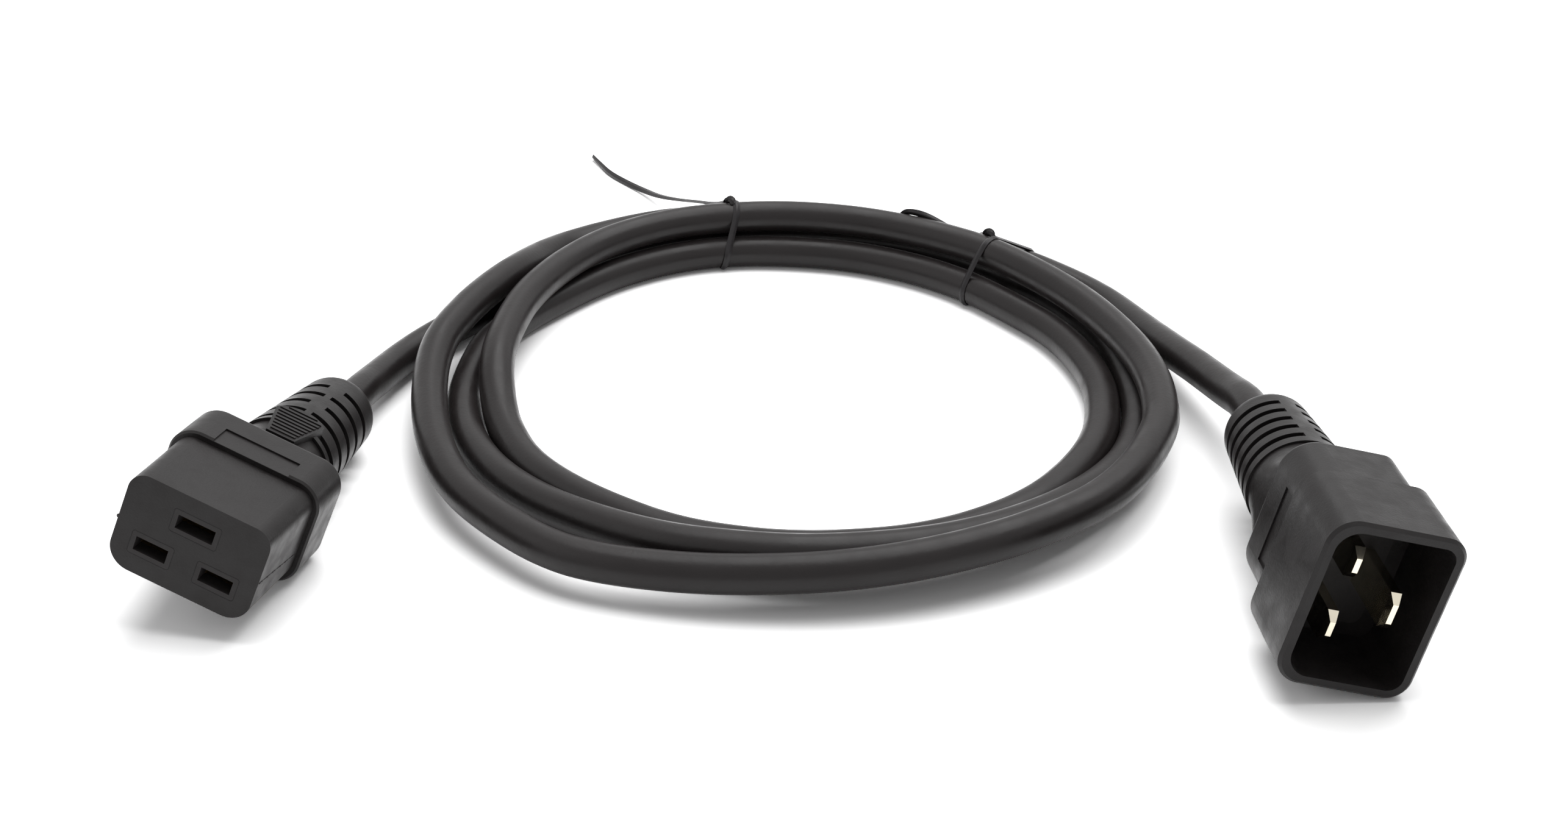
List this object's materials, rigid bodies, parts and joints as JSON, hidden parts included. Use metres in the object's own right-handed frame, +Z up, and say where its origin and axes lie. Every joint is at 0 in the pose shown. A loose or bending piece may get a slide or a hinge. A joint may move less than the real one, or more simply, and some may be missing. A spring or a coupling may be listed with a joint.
{
  "type": "c19 power connector with cord",
  "caption": "Moulded C19 connector with slotted strain relief, its three-core cord wound in a loose tied oval coil, and the matching C20 plug on the far end.",
  "frame": {"origin": "bottom centre of the C19 connector as it lies on the bench, on the bench surface", "axes": "+Y runs from the C19 face back along the connector to the cord, +Z up from the bench, +X to the right towards the coil and the C20 plug as seen from in front of the C19 face"},
  "size_m": [0.2391, 0.2468, 0.0364],
  "materials": {
    "moulded_pvc": "satin",
    "cord_jacket": "satin",
    "hard_insert": "satin",
    "tie_strip": "satin",
    "contact_sheet": "rolled",
    "plated_pin": "nickel plated",
    "copper_strand": "bare",
    "core_brown": "smooth",
    "core_blue": "smooth",
    "core_green": "smooth"
  },
  "bodies": {
    "root": {"c19_body": "moulded_pvc", "c19_contact_carrier": "hard_insert", "c19_live_contact": "contact_sheet", "c19_live_core": "core_brown", "c19_live_conductor": "copper_strand", "c19_neutral_contact": "contact_sheet", "c19_neutral_core": "core_blue", "c19_neutral_conductor": "copper_strand", "c19_earth_contact": "contact_sheet", "c19_earth_core": "core_green", "c19_earth_conductor": "copper_strand", "cord_lead_c19": "cord_jacket", "cord_coil": "cord_jacket", "cord_lead_c20": "cord_jacket", "twist_tie_left": "tie_strip", "twist_tie_right": "tie_strip", "c20_body": "moulded_pvc", "c20_pin_bridge": "hard_insert", "c20_live_pin": "plated_pin", "c20_live_core": "core_brown", "c20_live_conductor": "copper_strand", "c20_neutral_pin": "plated_pin", "c20_neutral_core": "core_blue", "c20_neutral_conductor": "copper_strand", "c20_earth_pin": "plated_pin", "c20_earth_core": "core_green", "c20_earth_conductor": "copper_strand"}
  },
  "joints": []
}
